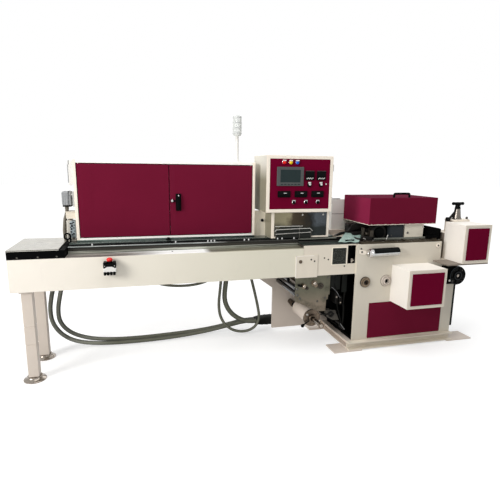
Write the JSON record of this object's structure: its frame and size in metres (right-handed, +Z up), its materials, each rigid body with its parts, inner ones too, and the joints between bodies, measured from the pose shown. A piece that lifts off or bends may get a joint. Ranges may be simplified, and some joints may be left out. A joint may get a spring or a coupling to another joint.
{
  "type": "horizontal flow wrap packaging machine",
  "caption": "Horizontal flow-wrap packaging machine with a long infeed beam, overhead cabinet, control panel, hinged hood, guard boxes, film arbor and channel base.",
  "frame": {"origin": "centre of the front leg's foot, on the floor", "axes": "+X along the infeed beam towards the body, +Y from the operator's side to the back, +Z up"},
  "size_m": [3.469, 0.856, 1.777],
  "materials": {
    "cream_paint": "cream powder coat",
    "crimson_paint": "dark crimson powder coat",
    "stainless": "brushed stainless",
    "chrome": "polished",
    "black_paint": "satin black",
    "black_plastic": "matt black",
    "red_plastic": "glossy red",
    "dark_acrylic": "dark, glossy",
    "grey_conduit": "grey-green corrugated",
    "lamp_glass": "clear lamp",
    "grey_plastic": "grey"
  },
  "bodies": {
    "machine": {"base_ends": "cream_paint", "base_rails": "cream_paint", "body_deck": "cream_paint", "body_plate": "cream_paint", "cabinet_back": "cream_paint", "cabinet_caps": "cream_paint", "cabinet_sides": "cream_paint", "control_box": "cream_paint", "control_panel": "crimson_paint", "control_plinth": "cream_paint", "door_pins": "chrome", "drive_block": "black_paint", "drive_motor": "grey_plastic", "end_cover": "cream_paint", "end_panel": "black_paint", "feed_cylinder": "chrome", "film_shafts": "chrome", "foot_plates": "cream_paint", "forming_panel": "cream_paint", "guard_boxes": "cream_paint", "guard_shelf": "cream_paint", "hand_column": "cream_paint", "hanging_plate": "cream_paint", "hood_hinges": "chrome", "hose_a": "grey_conduit", "hose_b": "grey_conduit", "hose_c": "grey_conduit", "hose_d": "grey_conduit", "hose_e": "grey_conduit", "hose_sleeve": "black_plastic", "housings": "cream_paint", "infeed_beam": "cream_paint", "leg_feet": "cream_paint", "leg_posts": "cream_paint", "outfeed_motor": "black_paint", "panel_buttons": "black_plastic", "panel_instruments": "black_plastic", "rear_plate": "cream_paint", "red_panels": "crimson_paint", "roller_plate": "stainless", "seal_roller": "stainless", "seal_supports": "stainless", "shaft_flanges": "cream_paint", "side_boxes": "grey_plastic", "stop_box": "black_plastic", "table_plate": "stainless", "tower_lamp": "lamp_glass", "tower_pole": "grey_plastic", "track_cores": "black_paint", "track_strips": "stainless", "windows": "dark_acrylic"},
    "left_door": {"door_left": "crimson_paint"},
    "right_door": {"door_right": "crimson_paint", "door_handle": "black_plastic"},
    "hood_cover": {"hood": "crimson_paint", "hood_handle": "black_plastic"},
    "film_roll_arbor": {"film_arbor": "cream_paint"},
    "hand_wheel": {"hand_knob": "black_plastic"},
    "stop_mushroom": {"stop_button": "red_plastic"}
  },
  "joints": [
    {"name": "left_door_hinge", "type": "hinge", "parent": "machine", "child": "left_door", "pos_m": [0.325, 0.2, 1.159], "axis": [0, 0, -1], "range_deg": [0, 110]},
    {"name": "right_door_hinge", "type": "hinge", "parent": "machine", "child": "right_door", "pos_m": [1.515, 0.2, 1.159], "axis": [0, 0, 1], "range_deg": [0, 100]},
    {"name": "hood_hinge", "type": "hinge", "parent": "machine", "child": "hood_cover", "pos_m": [2.7155, 0.425, 1.15], "axis": [-1, 0, 0], "range_deg": [0, 80]},
    {"name": "film_arbor_spin", "type": "hinge", "parent": "machine", "child": "film_roll_arbor", "pos_m": [1.988, 0.22, 0.243], "axis": [0, 1, 0], "continuous": true},
    {"name": "hand_wheel_turn", "type": "hinge", "parent": "machine", "child": "hand_wheel", "pos_m": [3.235, 0.035, 1.097], "axis": [0, 0, 1], "continuous": true},
    {"name": "stop_push", "type": "slide", "parent": "machine", "child": "stop_mushroom", "axis": [0, 0, -1], "range_m": [0, 0.005], "stiffness_N_per_m": 2000}
  ]
}
